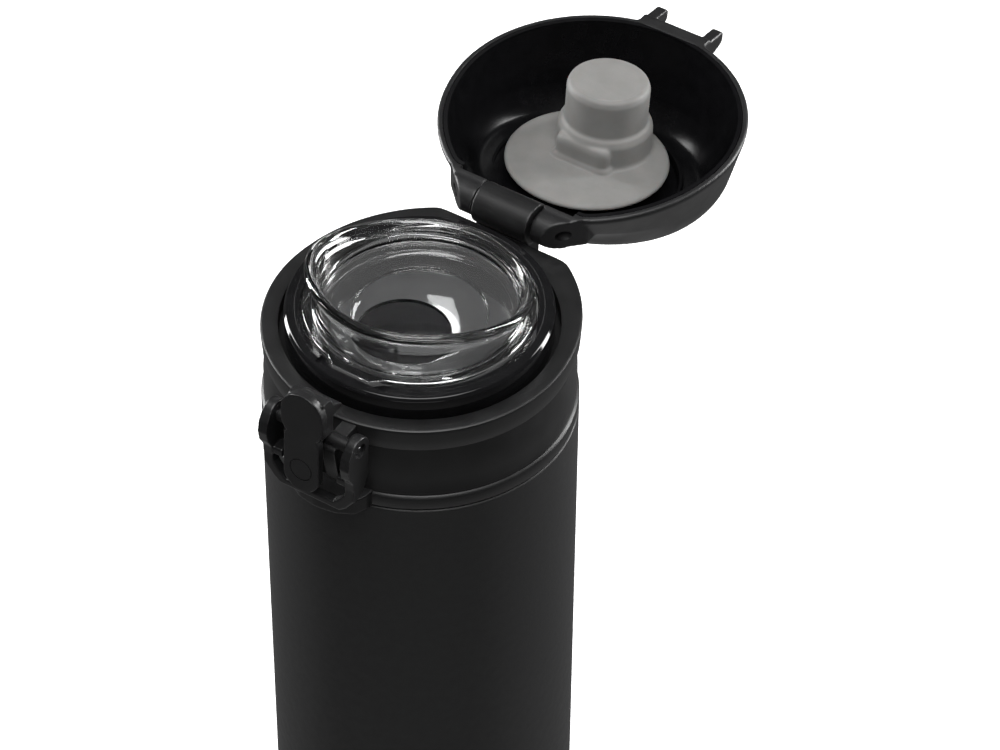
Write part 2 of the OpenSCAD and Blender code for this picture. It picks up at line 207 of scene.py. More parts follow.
def build(name, parts, matrix=Matrix.Identity(4)):
    """One object of closed parts, in metres."""
    whole = bmesh.new()
    for points, faces in parts:
        bm = bmesh.new()
        verts = [bm.verts.new(matrix @ p) for p in points]
        for f in faces:
            bm.faces.new([verts[i] for i in f])
        bmesh.ops.remove_doubles(bm, verts=bm.verts, dist=1e-3)
        bmesh.ops.dissolve_degenerate(bm, dist=1e-4, edges=bm.edges)
        bmesh.ops.recalc_face_normals(bm, faces=bm.faces)
        part = bpy.data.meshes.new(name)
        bm.to_mesh(part)
        bm.free()
        whole.from_mesh(part)
        bpy.data.meshes.remove(part)
    bmesh.ops.scale(whole, vec=(MM, MM, MM), verts=whole.verts)
    mesh = bpy.data.meshes.new(name)
    whole.to_mesh(mesh)
    whole.free()
    obj = bpy.data.objects.new(name, mesh)
    bpy.context.scene.collection.objects.link(obj)
    return obj


def bake(obj):
    """Turns an object's modifiers into its mesh."""
    seen = obj.evaluated_get(bpy.context.evaluated_depsgraph_get())
    mesh = bpy.data.meshes.new_from_object(seen)
    obj.modifiers.clear()
    obj.data = mesh
    return obj


def cut(obj, parts, matrix=Matrix.Identity(4), itself=False):
    """Takes closed parts away from an object."""
    cutter = build("cutter", parts, matrix)
    modifier = obj.modifiers.new("cut", "BOOLEAN")
    modifier.object = cutter
    modifier.solver = "EXACT"
    modifier.use_self = itself
    bake(obj)
    bpy.data.objects.remove(cutter)
    return obj


def fuse(obj, voxel=0.2, passes=4):
    """Makes overlapping parts one moulded skin with soft edges."""
    modifier = obj.modifiers.new("fuse", "REMESH")
    modifier.mode = "VOXEL"
    modifier.voxel_size = voxel * MM
    modifier = obj.modifiers.new("soften", "SMOOTH")
    modifier.factor = 0.5
    modifier.iterations = passes
    return bake(obj)


def finish(obj, body, slot, material, *nodes, sharp=35):
    """Shading, material and place in the frame."""
    obj.data.shade_smooth()
    if sharp:
        obj.data.set_sharp_from_angle(angle=math.radians(sharp))
    obj.data.materials.clear()
    obj.data.materials.append(material)
    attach(obj, body)
    if nodes:
        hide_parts(*nodes)
    return obj


# ---- materials ------------------------------------------------------------------

def new_material(name, color, roughness, metallic=0.0, coat=0.0, specular=0.5):
    """Material with a principled shader and object coordinates in millimetres."""
    mat = bpy.data.materials.new(name)
    mat.use_nodes = True
    nodes, links = mat.node_tree.nodes, mat.node_tree.links
    shader = nodes["Principled BSDF"]
    shader.inputs["Base Color"].default_value = (*color, 1)
    shader.inputs["Roughness"].default_value = roughness
    shader.inputs["Metallic"].default_value = metallic
    shader.inputs["Coat Weight"].default_value = coat
    shader.inputs["Specular IOR Level"].default_value = specular
    place = nodes.new("ShaderNodeTexCoord")
    scale = nodes.new("ShaderNodeVectorMath")
    scale.operation = "SCALE"
    scale.inputs["Scale"].default_value = 1 / MM
    links.new(place.outputs["Object"], scale.inputs[0])
    return mat, nodes, links, shader, scale.outputs[0]


def noise(nodes, links, place, size, detail=3, stretch=(1, 1, 1)):
    """Noise whose features are about size millimetres."""
    mapping = nodes.new("ShaderNodeMapping")
    mapping.inputs["Scale"].default_value = stretch
    links.new(place, mapping.inputs["Vector"])
    node = nodes.new("ShaderNodeTexNoise")
    node.inputs["Scale"].default_value = 1 / size
    node.inputs["Detail"].default_value = detail
    links.new(mapping.outputs[0], node.inputs["Vector"])
    return node.outputs["Fac"]


def tinted(color, share):
    return [share * c for c in color]


def vary_color(nodes, links, shader, factor, dark, light):
    """Base color between dark and light, following a noise."""
    ramp = nodes.new("ShaderNodeValToRGB")
    ramp.color_ramp.elements[0].position = 0.35
    ramp.color_ramp.elements[0].color = (*dark, 1)
    ramp.color_ramp.elements[1].position = 0.65
    ramp.color_ramp.elements[1].color = (*light, 1)
    links.new(factor, ramp.inputs["Fac"])
    links.new(ramp.outputs["Color"], shader.inputs["Base Color"])


def vary_roughness(nodes, links, shader, factor, low, high):
    """Roughness between low and high, following a noise."""
    spread = nodes.new("ShaderNodeMapRange")
    spread.inputs["From Min"].default_value = 0.3
    spread.inputs["From Max"].default_value = 0.7
    spread.inputs["To Min"].default_value = low
    spread.inputs["To Max"].default_value = high
    links.new(factor, spread.inputs["Value"])
    links.new(spread.outputs["Result"], shader.inputs["Roughness"])


def bump(nodes, links, shader, factors):
    """Bumps of several (factor, depth in millimetres), one over the other."""
    last = None
    for factor, depth in factors:
        node = nodes.new("ShaderNodeBump")
        node.inputs["Strength"].default_value = 1
        node.inputs["Distance"].default_value = depth * MM
        links.new(factor, node.inputs["Height"])
        if last:
            links.new(last, node.inputs["Normal"])
        last = node.outputs["Normal"]
    links.new(last, shader.inputs["Normal"])


def powder_coat():
    """Matte black powder coat: fine orange peel with a speckle of finer grain."""
    mat, nodes, links, shader, place = new_material("powder_coat", (0.011, 0.011, 0.0115), 0.5)
    grain = noise(nodes, links, place, 0.35, 2)
    peel = noise(nodes, links, place, 2.2, 2)
    vary_color(nodes, links, shader, grain, (0.0095, 0.0095, 0.0098), (0.0125, 0.0125, 0.013))
    vary_roughness(nodes, links, shader, peel, 0.46, 0.54)
    bump(nodes, links, shader, [(peel, 0.006), (grain, 0.010)])
    return mat


def moulded(name, color, roughness, grain_depth=0.012, grain_size=0.3):
    """Moulded black plastic with a spark-eroded grain."""
    mat, nodes, links, shader, place = new_material(name, color, roughness)
    grain = noise(nodes, links, place, grain_size, 2)
    cloud = noise(nodes, links, place, 6, 3)
    vary_color(nodes, links, shader, cloud, tinted(color, 0.85), tinted(color, 1.15))
    vary_roughness(nodes, links, shader, cloud, roughness - 0.04, roughness + 0.05)
    bump(nodes, links, shader, [(cloud, 0.01), (grain, grain_depth)])
    return mat


def gloss(name, color, roughness=0.06, specular=0.4):
    """Polished black plastic with faint waviness and handling haze."""
    mat, nodes, links, shader, place = new_material(name, color, roughness, specular=specular)
    wave = noise(nodes, links, place, 14, 1)
    haze = noise(nodes, links, place, 3, 4)
    vary_color(nodes, links, shader, haze, tinted(color, 0.85), tinted(color, 1.15))
    vary_roughness(nodes, links, shader, haze, roughness, roughness + 0.06)
    bump(nodes, links, shader, [(wave, 0.03)])
    return mat


def clear(name, transmission):
    """Clear copolyester with a little flow waviness."""
    mat, nodes, links, shader, place = new_material(name, (0.985, 0.99, 0.99), 0.02)
    shader.inputs["Transmission Weight"].default_value = transmission
    shader.inputs["IOR"].default_value = 1.54
    wave = noise(nodes, links, place, 9, 0)
    haze = noise(nodes, links, place, 4, 2)
    vary_roughness(nodes, links, shader, haze, 0.01, 0.03)
    bump(nodes, links, shader, [(wave, 0.006)])
    return mat


def silicone(name, color, roughness=0.55):
    """Matte silicone: soft sheen, faint mottling and a fine bead-blast grain."""
    mat, nodes, links, shader, place = new_material(name, color, roughness, specular=0.4)
    shader.inputs["Sheen Weight"].default_value = 0.06
    shader.inputs["Sheen Roughness"].default_value = 0.5
    shader.inputs["Subsurface Weight"].default_value = 0.06
    shader.inputs["Subsurface Scale"].default_value = 0.001
    grain = noise(nodes, links, place, 0.4, 2)
    cloud = noise(nodes, links, place, 5, 3)
    vary_color(nodes, links, shader, cloud, tinted(color, 0.94), tinted(color, 1.06))
    vary_roughness(nodes, links, shader, grain, roughness - 0.05, roughness + 0.07)
    bump(nodes, links, shader, [(grain, 0.01)])
    return mat


def steel(name, color, roughness, lay=(0.04, 0.04, 3), metallic=1):
    """Brushed stainless steel, its scratches long across the brushing axis."""
    mat, nodes, links, shader, place = new_material(name, color, roughness, metallic=metallic)
    lines = noise(nodes, links, place, 0.5, 4, lay)
    cloud = noise(nodes, links, place, 9, 2)
    vary_color(nodes, links, shader, cloud, tinted(color, 0.93), tinted(color, 1.04))
    vary_roughness(nodes, links, shader, lines, roughness - 0.06, roughness + 0.1)
    bump(nodes, links, shader, [(lines, 0.004)])
    return mat


PAINT = powder_coat()
COLLAR_PP = moulded("collar_polypropylene", (0.007, 0.007, 0.0073), 0.42)
LID_PP = moulded("lid_polypropylene", (0.011, 0.011, 0.0115), 0.42, 0.02, 0.4)
BUTTON_PP = moulded("button_polypropylene", (0.010, 0.010, 0.0105), 0.36, 0.006, 0.25)
RING_PP = moulded("ring_polypropylene", (0.010, 0.010, 0.0105), 0.36, 0.006, 0.25)
BASE_PP = moulded("base_plastic", (0.02, 0.02, 0.02), 0.55)
GLOSS_RING = gloss("gloss_black_ring", (0.006, 0.006, 0.0065))
LINER_GLOSS = gloss("gloss_black_liner", (0.004, 0.004, 0.0045), 0.2, 0.15)
CLEAR = clear("clear_copolyester", 1)
HAZY_FLOOR = clear("hazy_copolyester", 0.955)
GREY_SILICONE = silicone("grey_silicone", (0.20, 0.197, 0.19))
DARK_SILICONE = silicone("dark_silicone", (0.05, 0.05, 0.055))
BARE_STEEL = steel("brushed_steel", (0.60, 0.60, 0.61), 0.28)
INNER_STEEL = steel("electropolished_steel", (0.60, 0.60, 0.61), 0.38, (0.1, 0.1, 1.2), 0.78)
# Pin steel's colour (0.16) is far darker than bare steel (0.60): painted shade of the deep bores that the pin
# ends sit in
PIN_STEEL_PAINTED_SHADE = steel("pin_steel", (0.16, 0.16, 0.165), 0.25, (3, 0.3, 0.3))
SPRING_STEEL = steel("spring_steel", (0.45, 0.45, 0.46), 0.3, (1, 1, 1))
GETTER_METAL = steel("getter_metal", (0.38, 0.38, 0.39), 0.5, (1, 1, 1))
SEAL_RESIN = moulded("seal_resin", (0.09, 0.08, 0.07), 0.6)


# ---- bottle -----------------------------------------------------------------------

def bottle():
    """Painted outer wall with its rolled foot, steel neck with the thread, and the vacuum parts."""
    foot_r = 29.4
    wall = rounded([
        (foot_r, 0.3, 0), (BODY_R, 0.3, 2), (BODY_R, BODY_TOP, 0.6), (NECK_R + 0.2, BODY_TOP, 0),
        (NECK_R + 0.2, BODY_TOP - WALL, 0), (BODY_R - WALL, BODY_TOP - WALL, 0.4),
        (BODY_R - WALL, 0.8, 1.6), (foot_r, 0.8, 0),
    ], 0.5, 8)
    wall = build("body_wall", [turned(wall, count=256)])
    finish(wall, "bottle", "body_paint", PAINT, "outer_shell", sharp=50)
    neck = rounded([
        (NECK_R + 0.3, BODY_TOP - 0.45, 0), (NECK_R + 0.3, BODY_TOP + 0.25, 0.2),
        (NECK_R, BODY_TOP + 0.6, 0.3), (NECK_R, NECK_TOP - 0.62, 0),
        (NECK_R - WALL, NECK_TOP - 0.62, 0), (NECK_R - WALL, BODY_TOP - 0.45, 0),
    ], 0.2, 4)
    ridge = thread(NECK_R - 0.05, NECK_R + 1.15, THREAD_LOW, 0)
    finish(build("bottle_neck", [turned(neck), ridge]), "bottle", "body_paint", BARE_STEEL)

    side = BODY_R - 2.4
    mouth = NECK_R - 0.7
    sheet = 0.4
    low = 5.5
    shoulder = BODY_TOP - 10
    vessel = rounded([
        (0, low, 0), (side, low, 6), (side, shoulder, 5), (mouth, BODY_TOP - 2, 3),
        (mouth, NECK_TOP - 0.6, 0), (NECK_R, NECK_TOP - 0.6, 0), (NECK_R, NECK_TOP, 0.3),
        (mouth - sheet, NECK_TOP, 0.3),
        (mouth - sheet, BODY_TOP - 2.2, 3), (side - sheet, shoulder, 5), (side - sheet, low + sheet, 6),
        (0, low + sheet, 0),
    ], 0.3, 10)
    vessel = build("vessel_wall", [turned(vessel, closed=False, count=224)])
    finish(vessel, "bottle", "steel_inner", INNER_STEEL, "inner_vessel", sharp=50)

    disc = rounded([
        (1.2, 1.9), (4.5, 1.9), (5.5, 3.1), (24, 3.1, 1.2), (26, 1.7, 1.2), (31.2, 1.7),
        (31.2, 2.3), (26.3, 2.3, 1.2), (24.3, 3.7, 1.2), (5.2, 3.7), (4.2, 2.5), (1.2, 2.5),
    ], 0.15, 5)
    finish(build("pressed_base", [turned(disc)]), "bottle", "steel", BARE_STEEL, "base_disc")
    cover = rounded([
        (0, 0, 0), (7, 0, 0.2), (7.3, 0.35, 0.2), (8.3, 0.35, 0.2), (8.6, 0, 0.2),
        (28.5, 0, 0.5), (29.1, 0.7, 0.4), (29.1, 1.6, 0.1), (0, 1.6, 0),
    ], 0.2, 4)
    cover = build("foot_cover", [turned(cover, closed=False)])
    finish(cover, "bottle", "base_plastic", BASE_PP, "base_cover")
    bead = rounded([
        (0, 1.65, 0), (1.15, 1.65, 0), (1.15, 1.66, 0), (3, 1.65, 0.1),
        (2.9, 1.9, 0.1), (1.15, 1.9, 0.1), (1.0, 2.85, 0.5), (0, 2.85, 0),
    ], 0.1, 4)
    bead = build("seal_bead", [turned(bead, closed=False, count=48)])
    finish(bead, "bottle", "seal_resin", SEAL_RESIN, "vacuum_seal")
    puck = rounded([
        (0, 3.7, 0), (4, 3.7, 0.2), (4, 4.9, 0.3), (3.2, 4.9, 0.15), (3, 4.6, 0.15), (0, 4.6, 0),
    ], 0.2, 4)
    puck = build("getter_puck", [turned(puck, x=14, closed=False, count=64)])
    finish(puck, "bottle", "getter_metal", GETTER_METAL, "getter")


# ---- screw cap ----------------------------------------------------------------------

RING_POINTS = 288


def flared(angle, radius, chord, grow=1.0):
    """Distance to a round plan drawn out smoothly to a flat hinge side; angle is from the hinge side."""
    angle = abs(math.remainder(angle, 2 * math.pi))
    turn = math.degrees(angle)
    reach = radius + (grow * 2.1 * ((80 - turn) / 50) ** 1.5 if turn < 80 else 0)
    if turn > 60:
        return reach
    flat = chord / math.cos(angle)
    gap = reach - flat
    return 0.5 * (reach + flat) - 0.5 * math.sqrt(gap * gap + 0.12 * max(0.0, 1 - abs(gap) / 3))


def flared_ring(radius, z, chord=None, grow=1.0):
    """Ring of points round the flask whose hinge side is drawn out to a flat chord."""
    ring = []
    for a in around(RING_POINTS):
        reach = flared(a, radius, chord, grow) if chord else radius
        ring.append((reach * math.sin(a), reach * math.cos(a), z))
    return ring


def collar():
    """Collar with its flange, waist, lower band, inner thread, hinge barrel and latch fins."""
    # Each stretch of the outline has one plan: round, or (flat chord, share of the flare).
    stretches = [
        ((), [
            (27.6, -COLLAR_H), (32.6, -COLLAR_H), (32.9, -21.65), (33, -21.4), (32.98, -19.2), (32.93, -18.8),
            (32.75, -18.5), (32.45, -18.3), (32.38, -18.0), (32.42, -17.75), (32.4, -17.5),
        ]),
        ((30.5, 0.25), [
            (32.35, -17.2), (32.35, -14), (32.33, -12), (32.2, -10), (31.98, -8), (31.8, -6.6), (31.78, -5.9),
        ]),
        ((31, 1), [
            (31.95, -5.62), (32.2, -5.45), (32.3, -5.2), (32.45, -3), (32.6, -0.8), (32.58, -0.4),
            (32.5, -0.18), (32.3, -0.05), (32.0, 0),
        ]),
        ((), [(29.2, 0), (28.95, -0.08), (28.9, -0.3), (28.9, -3), (27.1, -3), (27.1, -8.3), (27.6, -8.8)]),
    ]
    rings = [flared_ring(r, z, *plan) for plan, rows in stretches for r, z in rows]
    ridge = thread(27.9, NECK_R + 0.45, THREAD_LOW - TOP, 180)
    body = build("collar_body", [loft(rings, True), ridge], CAP)
    finish(body, "cap", "collar_plastic", COLLAR_PP, "collar", sharp=30)

    hinge = HINGE_IN_CAP
    web = rounded([
        (29.2, -12), (30.6, -12, 0.5), (34.2, -7, 1), (35.3, -5, 1.5), (35.3, 0, 1), (36, 2, 1), (33.6, 4),
        (31, 2.5), (31, -0.02), (29.2, -0.02),
    ], 0)
    barrel = build("hinge_barrel", [plate(web, -6.5, 6.5), rod(4.5, -6.7, 6.7, hinge.y, hinge.z)], CAP)
    fuse(barrel, 0.2, 4)
    cut(barrel, [rod(1.35, -10, 10, hinge.y, hinge.z, 0), rod(3.3, -5, 5, hinge.y, hinge.z, 0)], CAP)
    finish(barrel, "cap", "collar_plastic", COLLAR_PP)

    latch = LATCH_IN_CAP
    fin = rounded([
        (-29, -0.35), (-39.2, -1, 1), (-39.9, -1.7, 1), (-39.5, -4.6, 2), (-38.4, -11, 1), (-37.9, -12, 0.6),
        (-37, -11.4, 0.6), (-36.5, -8, 1), (-36.6, -4.6, 1), (-35.4, -3.3, 1), (-31, -3.6, 1), (-29, -4.6),
    ], 0)
    parts = both_sides(plate(fin, 3, 6.2), rod(1.5, 3, 8.6, latch.y, latch.z))
    chin = mirrored([(9.4, -29.5, 0), (9.1, -33.2, 1.5), (7.9, -35.8, 1.5), (4.4, -37.7, 3), (0.5, -38.3, 3)])
    parts.append(plate(rounded(chin, 1, 4), -COLLAR_H, -17.9, "Z"))
    mount = build("latch_mount", parts, CAP)
    fuse(mount, 0.18, 4)
    cut(mount, [rod(1.02, -12, 12, latch.y, latch.z, 0)], CAP)
    finish(mount, "cap", "collar_plastic", COLLAR_PP)

    section = rounded([(24.4, 0.01), (26.6, 0.01), (26.6, 1.41), (24.4, 1.41)], 0.3, 4)
    seal = build("neck_seal", [turned([(r, NECK_TOP + z) for r, z in section])])
    finish(seal, "seal", "dark_silicone", DARK_SILICONE, "neck_gasket")


def spout_seat():
    """Gloss black ring round the spout, with the notch for the spout's front tab."""
    profile = rounded([
        (22.3, -7.5, 0.2), (26.9, -7.5, 0.3), (26.9, -3, 0), (27.6, -3, 0.1), (27.7, 3.3, 0.5),
        (27.2, 4.0, 0.5), (25.6, 4.4, 0.9), (24.3, 4.2, 0.3), (24.2, 3.3, 0.1), (22.3, 3.3, 0.1),
    ], 0.2, 7)
    ring = build("spout_seat_ring", [turned(profile, count=256)], CAP)
    cut(ring, [plate([(-8.3, -25.25), (8.3, -25.25), (8.3, -20), (-8.3, -20)], 3.3, 6, "Z")], CAP)
    finish(ring, "cap", "gloss_ring", GLOSS_RING, "spout_carrier", sharp=40)
    cord_r = 0.45
    cord = [(21.8 + cord_r * math.cos(a), TOP + 1.6 + cord_r * math.sin(a)) for a in around(16)]
    finish(build("spout_o_ring", [turned(cord)]), "cap", "dark_silicone", DARK_SILICONE, "spout_gasket")


def lip(angle):
    """Height of the lip; angle is from the latch side."""
    c = math.cos(angle)
    return 12.1 + 4.9 * (1.5 * c - 0.5 * c ** 3)


SPOUT_FLANGE_R = 23.9


def tab(angle):
    """Radius of the spout's flange, drawn out to a flat tab at the latch side."""
    angle = abs(math.remainder(angle, 2 * math.pi))
    flat = 24.9 / math.cos(min(angle, 1.2))
    flank = SPOUT_FLANGE_R + 12 * (0.295 - angle)
    return max(SPOUT_FLANGE_R, min(flat, flank))


def spout():
    """Clear spout: stepped floor with the drinking hole, waisted wall, beaded lip and flange with its tab."""
    floor = rounded([(0, 1.2, 0), (13.8, 1.2, 0.2), (14.1, 1.7, 0.2), (20.3, 1.7, 0.9)], 0.3, 6, False)[:-1]
    # Radius, share of the way from the foot to the lip, and distance from there.
    wall_in = [
        (20.1, 0.1, 0), (20.25, 0.2, 0), (20.3, 0.35, 0), (20.3, 0.5, 0),
        (20.32, 0.7, -0.5), (20.45, 0.88, -1.4), (20.7, 1, -2.5),
    ]
    bead = [
        (21.0, 1, -1.7), (21.3, 1, -0.95), (21.7, 1, -0.42), (22.15, 1, -0.12),
        (22.55, 1, -0.1), (22.95, 1, -0.35), (23.2, 1, -0.75), (23.3, 1, -1.25),
        (23.2, 1, -1.75), (22.95, 1, -2.2), (22.6, 1, -2.65), (22.3, 1, -3.1),
    ]
    wall_out = [
        (22.0, 0.95, -3.2), (21.8, 0.85, -2.6), (21.65, 0.7, -1.6), (21.6, 0.5, -0.6), (21.6, 0.3, 0),
        (21.65, 0.16, 0),
    ]
    foot = 3
    rows = [[(r * math.sin(a), -r * math.cos(a), z) for a in around(RING_POINTS)] for r, z in floor]
    for r, share, drop in wall_in + bead + wall_out:
        ring = []
        for a in around(RING_POINTS):
            ring.append((r * math.sin(a), -r * math.cos(a), foot + share * (lip(a) - foot) + drop))
        rows.append(ring)
    base = rounded([
        (21.7, 5.3, 0.3), (22, 4.91, 0.3), (SPOUT_FLANGE_R, 4.91, 0.35), (SPOUT_FLANGE_R, 3.35, 0.3),
        (21.45, 3.35, 0.1), (21.45, 2.05, 0), (21.0, 1.6, 0.3), (21.45, 1.15, 0), (21.45, 0, 0.2),
        (19.5, 0, 0.1), (19.5, 0.3, 0), (0, 0.3, 0),
    ], 0.1, 5, False)
    for r, z in base:
        ring = []
        for a in around(RING_POINTS):
            reach = tab(a) * r / SPOUT_FLANGE_R if r > 23 else r
            ring.append((reach * math.sin(a), -reach * math.cos(a), z))
        rows.append(ring)
    cup = build("clear_spout", [loft(rows)], CAP)
    hole_r = 9.9
    cut(cup, [turned([(0, -3), (hole_r, -3), (hole_r, 6), (0, 6)], y=-6, closed=False, count=128)], CAP)
    finish(cup, "cap", "clear_resin", CLEAR, "drink_spout", sharp=45)
    cup.data.materials.append(HAZY_FLOOR)
    floor_low, floor_high, floor_r = 0.9, 3.6, 19.6
    for face in cup.data.polygons:
        x, y, z = face.center / MM
        if floor_low < z - TOP < floor_high and math.hypot(x, y) < floor_r:
            face.material_index = 1


def hinge_and_latch_metal():
    """Pins and springs."""
    pin = build("hinge_axle", [rod(1.25, -9.4, 9.4, HINGE.y, HINGE.z, 0.3)])
    finish(pin, "lid", "pin_steel", PIN_STEEL_PAINTED_SHADE, "hinge_pin")
    pin = build("latch_axle", [rod(1, -10.6, 10.6, LATCH.y, LATCH.z, 0.25)])
    finish(pin, "cap", "pin_steel", PIN_STEEL_PAINTED_SHADE, "latch_pin")
    coil = build("torsion_spring", [helix(2.3, 0.4, 1.1, 7, HINGE.y, HINGE.z)])
    finish(coil, "cap", "spring_steel", SPRING_STEEL, "hinge_spring")
    coil = build("return_spring", [helix(1.55, 0.25, 0.6, 2, LATCH.y, LATCH.z, 2.05)])
    finish(coil, "cap", "spring_steel", SPRING_STEEL, "button_spring")


# ---- lid, shaped closed with its rim at zero height, then swung open ---------------------

DOME_H = 18.7
DOME_SLOPE = math.radians(10.5)
SIDE_ROUND = 13.3
CROWN_ROUND = 5
SIDE_X = 17.1
SIDE_Z = DOME_H - CROWN_ROUND - (SIDE_ROUND - CROWN_ROUND) * math.sin(math.pi / 4)
CROWN_X = SIDE_X + (SIDE_ROUND - CROWN_ROUND) * math.cos(math.pi / 4)
LID_R = 32.7
LID_FLAT = 31
LID_WALL = 1.2
RIM_BAND = 1.2
LINER_OUTSIDE = 1.3
LINER_INSIDE = 2.2


def dome_rows(inset, foot):
    """Rings of the slanted dome, from its rim to its middle, moved in by inset."""
    section = []
    for k in range(13):
        a = math.radians(15 + 30 * k / 12)
        section.append((SIDE_X + (SIDE_ROUND - inset) * math.cos(a), (SIDE_ROUND - inset) * math.sin(a)))
    crown_z = DOME_H - CROWN_ROUND - SIDE_Z
    for k in range(10):
        a = math.radians(50 + 40 * k / 9)
        bend = CROWN_ROUND - inset
        section.append((CROWN_X + bend * math.cos(a), crown_z + bend * math.sin(a)))
    crown = DOME_H - SIDE_Z - inset
    for t in (0.06, 0.15, 0.28, 0.42, 0.56, 0.7, 0.82, 0.92, 1):
        section.append((CROWN_X * (1 - t), crown + 0.4 * math.sin(math.pi / 2 * t) ** 2))
    plan = (LID_R - inset, LID_FLAT - inset)
    rows = [flared_ring(plan[0], z, plan[1]) for z in (foot, 0.5 * (foot + RIM_BAND), RIM_BAND)]
    # The flat hinge side fades out over the section's first eight rings.
    for i, (r, up) in enumerate(section):
        hold = max(0, 1 - i / 8) ** 2
        ring = []
        for a in around(RING_POINTS):
            wide = r + hold * (flared(a, *plan) - LID_R + inset)
            y = wide * math.cos(a)
            ring.append((wide * math.sin(a), y * math.cos(DOME_SLOPE) + up * math.sin(DOME_SLOPE),
                         SIDE_Z - y * math.sin(DOME_SLOPE) + up * math.cos(DOME_SLOPE)))
        rows.append(ring)
    return rows


def shell_of(outer, inner):
    """Closed skin from an outer and an inner stack of rings that share a rim."""
    return loft(outer[::-1] + inner)


def rim_relief():
    """Room inside the rim at the hinge, which leaves the barrel open to the inside."""
    return plate([(31.8, -1), (30.85, 0.2), (28, 4.4), (25, 4.4), (25, -1)], -14, 14)


def lid():
    """Matte outer lid with hinge ears, catch pad and horns, moulded as one."""
    hinge_y = HINGE.y
    hinge_z = LID_HINGE_Z
    outer = dome_rows(0, 0.3)
    inner = dome_rows(LID_WALL, 0)
    side = [(27, 0.02), (31.2, 0.02), (hinge_y, hinge_z - 3), (hinge_y, hinge_z + 3.5), (25, hinge_z + 3.3)]
    pad = rounded([
        (-30.7, 0.1), (-33.6, 0.1, 0.8), (-34.5, 0.6, 0.5), (-34.5, 4.2, 0.4), (-34.1, 4.6, 0.4), (-30.5, 5),
    ], 0)
    horn = rounded([
        (-31, 0.7), (-34, 0.9, 1), (-39.5, 1.8, 0.7), (-40.1, 2.5, 0.7), (-40, 4, 0.8), (-39.4, 4.9, 0.7),
        (-36, 5.7, 1), (-31.5, 7.2),
    ], 0)
    horn = plate(horn, 5.75, 8.3)
    # In plan, the ear's outer side slants in to the hinge along the line x + y = flank.
    flank = 47
    beyond = [(flank - 20, 20), (flank - 40, 40), (20, 45), (40, 40), (40, 20)]
    ears = build("ears", [plate(side, 7.2, 17), rod(3.6, 7.2, 17, hinge_y, hinge_z, 0)], LID)
    cut(ears, [plate(beyond, -6, 12, "Z")], LID, True)
    cut(ears, [loft(dome_rows(LID_WALL, -1))], LID)
    ears.modifiers.new("other_side", "MIRROR")
    bake(ears)
    shell = build("lid_cover", [shell_of(outer, inner), plate(pad, -8.2, 8.2), *both_sides(horn)], LID)
    whole = bmesh.new()
    whole.from_mesh(shell.data)
    whole.from_mesh(ears.data)
    whole.to_mesh(shell.data)
    whole.free()
    bpy.data.objects.remove(ears)
    fuse(shell, 0.31, 2)
    cut(shell, [rod(4.85, -7.2, 7.2, hinge_y, hinge_z, 0)], LID)
    cut(shell, [rim_relief()], LID)
    bores = [(2.2, 9.5, 20), (2.2, -20, -9.5), (1.27, -20, 20)]
    cut(shell, [rod(r, x0, x1, hinge_y, hinge_z, 0) for r, x0, x1 in bores], LID)
    finish(shell, "lid", "lid_plastic", LID_PP, "lid_shell", sharp=40)


def liner():
    """Gloss liner inside the lid, bulged round the hinge barrel, with the boss for the stopper."""
    hinge_y = HINGE.y
    hinge_z = LID_HINGE_Z
    outer = loft(dome_rows(LINER_OUTSIDE, 0.25))
    inner = loft(dome_rows(LINER_INSIDE, -2))
    skin = build("lid_inner_cup", [outer], LID)
    cut(skin, [rod(5.3, -8.1, 8.1, hinge_y, hinge_z, 0, 96)], LID)
    cut(skin, [rim_relief()], LID)
    room = build("room", [inner], LID)
    cut(room, [rod(5.75, -8.6, 8.6, hinge_y, hinge_z, 0, 96)], LID)
    modifier = skin.modifiers.new("hollow", "BOOLEAN")
    modifier.object = room
    modifier.solver = "EXACT"
    bake(skin)
    bpy.data.objects.remove(room)
    finish(skin, "lid", "liner_gloss", LINER_GLOSS, "lid_liner", sharp=30)
    boss = rounded([(0, 1.21, 0), (6, 1.21, 0.2), (6, 5.2, 0.2), (0, 5.2, 0)], 0.2, 4)
    ring = rounded([(19.6, 5.6), (19.9, 4.2), (20.6, 4.2), (20.9, 5.6)], 0.25, 4)
    parts = [turned(boss, closed=False, count=64), turned(ring, y=-0.5)]
    boss = build("stopper_boss", [placed(part, STOPPER) for part in parts], LID)
    finish(boss, "lid", "liner_gloss", LINER_GLOSS)


def stopper():
    """Grey silicone flange disc with the hollow-tipped plug and the key beside it."""
    disc = rounded([(0, 0, 0), (17.3, 0, 0.5), (17.9, 0.6, 0.4), (17.6, 1.2, 0.3), (0, 1.2, 0)], 0.4, 5)
    plug = rounded([
        (0, 0.9, 0), (11.2, 0.9, 0), (10.4, -0.7, 1.2), (10.25, -5.3, 1), (9.6, -6.6, 1.2), (8.95, -7, 1),
        (9, -14.9, 1.2), (8.5, -16.1, 0.9), (7.8, -16.3, 0.5), (6.8, -15.95, 0.8), (0, -15.8, 0),
    ], 0.5, 6)
    key = rounded([(-6.4, -4), (6.4, -4), (6.6, 3.9, 2.4), (-6.6, 3.9, 2.4)], 0.5, 8)
    # Size of the key at each height, from its rounded tip to its flared foot.
    sizes = [
        (0.84, -5.5), (0.93, -5.1), (0.98, -4.5), (1, -3.8), (1, -1.3), (1.05, -1.0), (1.1, -0.6), (1.12, 0.6),
    ]
    parts = [turned(disc, closed=False), turned(plug, y=-6.8, closed=False)]
    parts.append(loft([[(x * size, y * size, z) for x, y in key] for size, z in sizes]))
    body = build("lid_stopper_plug", [placed(part, STOPPER) for part in parts], LID)
    fuse(body, 0.25, 7)
    finish(body, "lid", "grey_silicone", GREY_SILICONE, "lid_stopper", sharp=0)


# ---- latch --------------------------------------------------------------------------------

